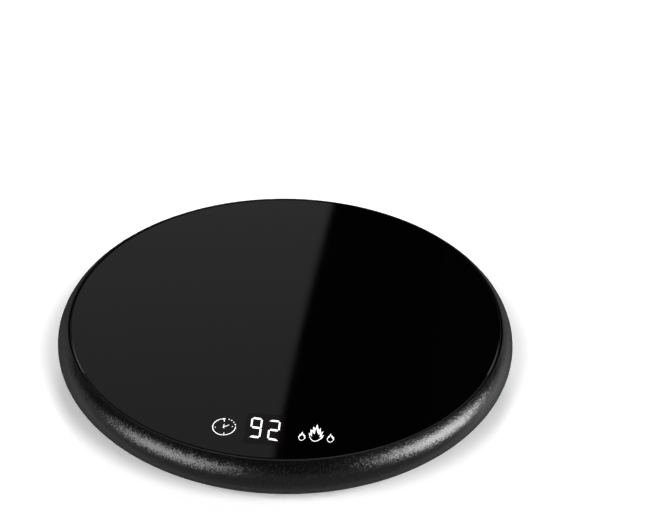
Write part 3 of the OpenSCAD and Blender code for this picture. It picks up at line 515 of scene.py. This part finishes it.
def digit(name, middle, bars):
    """Bars round centre lines: P(t, q) = start + t * way + q * width(t) / 2 * side. bars gives, for
    each lit bar, how much longer its outer edge is than its inner one at its start and its end."""
    for bar, slants in bars.items():
        start, end = (np.array(middle) + p[0] * DIGIT_ACROSS + p[1] * DIGIT_UP for p in BARS[bar])
        length = np.linalg.norm(end - start)
        way = (end - start) / length
        side = np.array([-way[1], way[0]])
        half = (FLAT_BAR if bar in ("top", "middle", "bottom") else SIDE_BAR) / 2
        near, far = BAR_TRIM + TAPER * half, length - BAR_TRIM - TAPER * half
        along = np.array([BAR_TRIM, near, far, length - BAR_TRIM])
        first, last = -slants[0] / 2, slants[1] / 2
        slant = np.array([first, SLANT_KEPT * first, SLANT_KEPT * last, last])
        ends = [NARROW if end_slant == 0 else 1 for end_slant in slants]
        wide = half * np.array([ends[0], 1, 1, ends[1]])
        edges = [start + np.outer(along + q * slant, way) + np.outer(q * wide, side)
                 for q in (1, -1)]
        sign(f"{name}_{bar}", *edges, digit_light)


digit("digit_tens", (-3.58, -49.4), {
    "top": (0, 0), "upper_left": (0, 0), "upper_right": (0, 0), "middle": (0, 0),
    "lower_right": (0, 0), "bottom": (0, 0.4),
})
digit("digit_ones", (0.95, -49.95), {
    "top": (-0.85, 0), "upper_right": (0, 0), "middle": (0, 0), "lower_left": (0, 0),
    "bottom": (0.75, 0),
})
print("digits: 11 bars")

# %% [markdown]
# ### The clock sign
# The timer key's sign is a ring whose last quarter is broken into dots, with marks at the quarters
# and two hands. The ring could be a curve with a bevel, but a strip keeps it flat: it lies between
# an outer and an inner ellipse. The marks and hands are bars that narrow towards one end, so they
# are strips between two slanted edges.

# %% Clock
CLOCK = np.array([-11.51, -49.78])  # the clock's middle, in millimetres on the glass
RING_HALF = np.array([2.84, 2.98])  # the ring is a little taller than wide
RING_LINE = 0.21  # width of its line
DOT_LINE = 0.24  # width of its dots
DOTS = [(71, 2.9), (55, 2.9), (39, 2.9), (20, 5.2)]  # middle and half span of each, in degrees


def on_circle(start, end, count):
    """Points (cos a, sin a) at even angles from start to end, in degrees."""
    angle = np.radians(np.linspace(start, end, count))
    return np.stack([np.cos(angle), np.sin(angle)], -1)


def arc_strip(name, start, end, line, count):
    """Strip on both sides of an ellipse:
    P(a, q) = CLOCK + (RING_HALF + q * line / 2) * (cos a, sin a)."""
    circle = on_circle(start, end, count)
    outer, inner = (CLOCK + (RING_HALF + q * line / 2) * circle for q in (1, -1))
    sign(name, outer, inner, sign_light)


def bar_between(name, start, end, wide, narrow, made):
    """Straight bar between two points beside the clock's middle, from one width to another:
    P(t, q) = start + t * (end - start) + q * width(t) / 2 * side."""
    start, end = CLOCK + start, CLOCK + end
    way = (end - start) / np.linalg.norm(end - start)
    side = np.array([-way[1], way[0]]) / 2
    edges = [[start + q * side * wide, end + q * side * narrow] for q in (1, -1)]
    sign(name, *edges, made)


arc_strip("clock_ring", 97, 366, RING_LINE, 64)
for k, (middle, half_span) in enumerate(DOTS):
    arc_strip(f"clock_dot_{k}", middle - half_span, middle + half_span, DOT_LINE, 8)
bar_between("clock_mark_top", (-0.31, 3.12), (-0.19, 1.85), 0.55, 0.1, sign_light)
bar_between("clock_mark_left", (-2.3, -0.39), (-2.05, -0.35), 0.28, 0.28, dim_light)
bar_between("clock_mark_bottom", (0.2, -2.75), (0.24, -2.05), 0.26, 0.2, dim_light)
bar_between("clock_mark_right", (1.93, 0.23), (2.19, 0.27), 0.3, 0.3, dim_light)
bar_between("clock_hour_hand", (-0.12, -0.3), (-0.1, 0.94), 0.24, 0.18, sign_light)
bar_between("clock_minute_hand", (0.02, 0.02), (1.2, 0.76), 0.22, 0.18, sign_light)
bar_between("clock_hub", (-0.3, -0.1), (0.1, -0.6), 0.2, 0.16, dim_light)
print("clock: ring, 4 dots, 4 marks, 2 hands and a hub")

# %% [markdown]
# ### The heat sign
# One large flame between two small ones marks the heat key. A flame is again a strip, between an
# outer and an inner outline that have the same number of corners, so each tongue of the outer line
# has its own place on the inner one. The corners run round from the foot, and both small flames
# share one outline.

# %% Flames
BIG_FLAME = [  # outer corner, inner corner
    ((0, 0.03), (-0.02, 0.29)), ((-0.6, 0.25), (-0.55, 0.51)), ((-1.11, 0.86), (-1.02, 1.06)),
    ((-1.41, 1.67), (-1.29, 1.76)), ((-1.54, 2.46), (-1.39, 2.33)), ((-1.65, 3.25), (-1.3, 2.51)),
    ((-1.16, 2.46), (-0.85, 1.81)), ((-1.33, 4.38), (-0.86, 3.66)), ((-0.7, 3.93), (-0.2, 2.67)),
    ((-0.68, 5.47), (-0.16, 3.41)), ((-0.09, 4.8), (-0.07, 4.11)), ((0.26, 6.48), (0.08, 5.03)),
    ((0.76, 4.3), (0.43, 3.6)), ((1.22, 5.17), (0.73, 2.71)), ((1.29, 3.2), (1.09, 2.86)),
    ((1.95, 4.09), (1.21, 2.5)), ((1.52, 2.2), (1.02, 1.8)), ((2.14, 2.62), (1.42, 1.88)),
    ((1.78, 1.5), (1.56, 1.68)), ((1.33, 0.93), (1.19, 1.17)), ((0.7, 0.3), (0.6, 0.54)),
]
SMALL_FLAME = [
    ((-0.06, 0.09), (-0.07, 0.28)), ((-0.49, 0.33), (-0.42, 0.5)), ((-0.78, 0.91), (-0.66, 0.92)),
    ((-0.87, 1.51), (-0.7, 1.28)), ((-0.67, 1.68), (-0.56, 1.55)), ((-0.57, 2.32), (-0.39, 1.95)),
    ((-0.33, 2.35), (-0.2, 1.88)), ((0.03, 3.39), (-0.04, 2.72)), ((0.2, 2.48), (0.17, 2.24)),
    ((0.55, 2.58), (0.32, 1.82)), ((0.52, 2.05), (0.44, 1.72)), ((0.91, 2.1), (0.58, 1.52)),
    ((0.76, 1.61), (0.66, 1.36)), ((0.97, 1.38), (0.74, 1.16)), ((0.74, 0.8), (0.62, 0.9)),
    ((0.38, 0.3), (0.31, 0.47)),
]


def flame(name, foot, corners):
    """Closed strip between two outlines that stand on the point foot."""
    placed = np.array(corners) + np.array(foot)
    sign(name, placed[:, 0], placed[:, 1], sign_light, wrap=True)


flame("flame_big", (11.31, -53.28), BIG_FLAME)
flame("flame_left", (8.02, -53.28), SMALL_FLAME)
flame("flame_right", (15.1, -53.32), SMALL_FLAME)
print("flames: 3")

# %% [markdown]
# ### The display's window
# The digits shine through a tinted window with rounded corners. Its outline is a superellipse,
# |x / a|^n + |y / b|^n = 1 with n = 14, which is a rectangle with soft corners. A fan from the
# middle would put a pole there. The rule for signs needs none: the window is the strip between its
# lower edge and its upper edge, and its straight sides are the two ends of that strip.

# %% Window
WINDOW_MIDDLE = np.array([-1.25, -49.73])
WINDOW_HALF = np.array([5.0, 5.58])
WINDOW_POWER = 14
WINDOW_SIDE = 35  # degrees that a straight side reaches above and below the middle
WINDOW_LIFT = 0.001 * MM  # from the glass to the window's underside
WINDOW_PRINT = 0.003 * MM  # its thickness, which keeps it under the digits


def window_edge(start, end, count=80):
    """Points of the superellipse: radius 1 / (|cos|^n + |sin|^n)^(1/n) at each angle."""
    circle = on_circle(start, end, count)
    powers = (np.abs(circle) ** WINDOW_POWER).sum(-1, keepdims=True)
    return WINDOW_MIDDLE + WINDOW_HALF * powers ** (-1 / WINDOW_POWER) * circle


lower_edge = window_edge(180 + WINDOW_SIDE, 360 - WINDOW_SIDE)
upper_edge = window_edge(180 - WINDOW_SIDE, WINDOW_SIDE)
window = sign("display_window", lower_edge, upper_edge, window_tint, "black_glass",
              lift=WINDOW_LIFT)
window.modifiers["print"].thickness = WINDOW_PRINT
print("window", 2 * WINDOW_HALF, "mm")

# %% [markdown]
# ## Floor and background
# A product like this is shown on white, with a soft shadow held close under it. The floor is a
# wide sheet. To a camera ray it is a little whiter than white, so that the paper clears to pure
# white just outside the shadow. To light that bounces off it towards the warmer it is ordinary
# pale paper. The world is white to the camera and to mirrors. It could give all the light too, but
# light that comes evenly from all around leaves hardly a shadow, so it gives only a sixth, and the
# lamps of the next step give the rest.

# %% Floor and world
FLOOR_HALF = 6.0  # metres
PAPER = (0.8, 0.8, 0.8)  # to the light that bounces off it
PAPER_SEEN = (1.26, 1.26, 1.26)  # to the camera
WORLD_LIGHT = 0.16  # strength of the world as a light, where 1 is white

x, y = np.meshgrid([-FLOOR_HALF, FLOOR_HALF], [-FLOOR_HALF, FLOOR_HALF])
floor = grid_piece("studio_floor", np.dstack([x, y, np.zeros_like(x)]))

paper = bpy.data.materials.new("studio_paper")
paper.use_nodes = True
paper.node_tree.nodes.clear()
to_camera = node(paper, "LightPath").outputs["Is Camera Ray"]
matt = node(paper, "BsdfDiffuse", {"Color": mixed(paper, to_camera, PAPER, PAPER_SEEN)})
node(paper, "OutputMaterial", {"Surface": matt.outputs[0]})
floor.data.materials.append(paper)

world = bpy.data.worlds.new("studio_world")
bpy.context.scene.world = world
world.use_nodes = True
background = world.node_tree.nodes["Background"]
background.inputs["Color"].default_value = (1, 1, 1, 1)
ray = node(world, "LightPath").outputs
seen = maths(world, "ADD", ray["Is Camera Ray"], ray["Is Glossy Ray"])
seen = maths(world, "ADD", seen, ray["Is Transmission Ray"])
drive(world, background, "Strength", spread(world, seen, 0.0, 1.0, WORLD_LIGHT, 1.0))
print("floor", 2 * FLOOR_HALF, "m wide, world light", WORLD_LIGHT)

# %% [markdown]
# ## Lamps
# Black gloss shows nothing but what stands round it, so a studio is built for its reflections. Two
# low softboxes, at the front left and at the right, draw the long highlights along the rim. They
# are left out of diffuse light, so they cast no long shadow over the floor. A polished plate beside
# a strip would turn into one white glare, so the strips are flagged off the glass, which light
# linking does here.
#
# Three round lamps, at the front left, the front right and high behind, give the light itself. Near
# lamps would leave the far floor grey. These are of the sun kind, which doesn't fade with distance,
# and wide, so together they put a soft shadow close under the rim on every side.

# %% Lamps
STRIP_AWAY = 0.8  # metres from the warmer to each softbox
SUN_WIDTH = 22  # degrees across, as the warmer sees a round lamp


def direction(azimuth, elevation):
    """Unit vector. Azimuth 0 is +Y and 90 is +X, and elevation is above the floor, in degrees."""
    a, e = np.radians(azimuth), np.radians(elevation)
    return np.stack([np.sin(a) * np.cos(e), np.cos(a) * np.cos(e), np.sin(e)], -1)


def softbox(name, azimuth, elevation, width, height, brightness, roll=0):
    """Rectangular lamp that looks at the warmer. Its brightness is what a mirror would show, where
    white is 1, and roll turns it in its own plane, in degrees."""
    light = bpy.data.lights.new(name, "AREA")
    light.shape = "RECTANGLE"
    light.size, light.size_y = width, height
    light.energy = brightness * math.pi * width * height
    lamp = bpy.data.objects.new(name, light)
    lamp.location = Vector(direction(azimuth, elevation)) * STRIP_AWAY
    aim = (-lamp.location).to_track_quat("-Z", "Y")
    lamp.rotation_euler = (aim @ Quaternion((0, 0, 1), math.radians(roll))).to_euler()
    lamp.visible_camera = False
    bpy.context.scene.collection.objects.link(lamp)
    return lamp


off_glass = bpy.data.collections.new("kept_off_the_strips")
off_glass.objects.link(nodes["glass_panel"])
off_glass.collection_objects[0].light_linking.link_state = "EXCLUDE"
strips = [
    softbox("strip_left", -134, 16.5, width=0.62, height=0.42, brightness=22),
    softbox("strip_right", 106, 17, width=0.61, height=0.45, brightness=42, roll=-25),
]
for strip in strips:
    strip.visible_diffuse = False
    strip.light_linking.receiver_collection = off_glass


def far_lamp(name, azimuth, elevation, share):
    """Round lamp too far off to fade over the floor. share is its part of the light on the floor,
    so its strength is share * pi / sin(elevation)."""
    light = bpy.data.lights.new(name, "SUN")
    light.angle = math.radians(SUN_WIDTH)
    light.energy = share * math.pi / math.sin(math.radians(elevation))
    lamp = bpy.data.objects.new(name, light)
    lamp.rotation_euler = Vector(-direction(azimuth, elevation)).to_track_quat("-Z", "Y").to_euler()
    lamp.visible_glossy = False
    bpy.context.scene.collection.objects.link(lamp)


far_lamp("front_left", -150, 41, share=0.32)
far_lamp("front_right", 140, 42, share=0.37)
far_lamp("back", 0, 64, share=0.14)
print("5 lamps")

# %% [markdown]
# ## Cards
# Left to itself, the glass would mirror the white world and look grey. A dark dome over the warmer,
# which only mirrors see, keeps it black. One grey card at the back left gives the glass its pale
# half, with the straight edge that a card leaves. The pale half could be painted on the glass, but
# paint stays put in every view, and a mirror image moves as the eye does.

# %% Cards
DOME_LEVEL = 0.004  # brightness of the dome, where white is 1
PALE = 0.3  # brightness of the grey card
EDGE_AZIMUTH, EDGE_ELEVATION = -4.45, 42.8  # a point on the slanted edge of the grey card
EDGE_SLOPE = 0.27  # degrees that the edge goes to the right for each degree down
EDGE_SOFT = 0.55  # degrees over which it fades


def card(name, azimuths, elevations, distance, shade, steps=(33, 17)):
    """Part of a sphere round the warmer that only mirrors see:
    P(a, e) = distance * direction(a, e). shade gives its brightness at each azimuth and elevation,
    where white is 1, and it is kept on the card's points."""
    a, e = np.meshgrid(np.linspace(*azimuths, steps[0]), np.linspace(*elevations, steps[1]))
    piece = grid_piece(name, distance * direction(a, e))
    level = piece.data.attributes.new("level", "FLOAT", "POINT")
    shades = np.broadcast_to(shade(a, e), a.shape)
    level.data.foreach_set("value", shades.ravel().astype(np.float32))
    made = bpy.data.materials.new(name)
    made.use_nodes = True
    made.node_tree.nodes.clear()
    stored = node(made, "Attribute", attribute_name="level").outputs["Fac"]
    glow = node(made, "Emission", {"Color": (1, 1, 1, 1), "Strength": stored})
    node(made, "OutputMaterial", {"Surface": glow.outputs[0]})
    piece.data.materials.append(made)
    piece.visible_camera = piece.visible_diffuse = piece.visible_shadow = False
    piece.visible_transmission = False


def pale_half(azimuth, elevation):
    """PALE to the left of the slanted edge and 0 to its right, with the smooth step 3t^2 - 2t^3."""
    edge = EDGE_AZIMUTH + EDGE_SLOPE * (EDGE_ELEVATION - elevation)
    step = np.clip((edge - azimuth) / EDGE_SOFT, 0, 1)
    return PALE * step * step * (3 - 2 * step)


card("card_dome", (-180, 180), (12, 90), 2.0, lambda a, e: DOME_LEVEL)
card("card_back_left", (-75, 6), (18, 75), 1.9, pale_half, (325, 191))
print("2 cards")
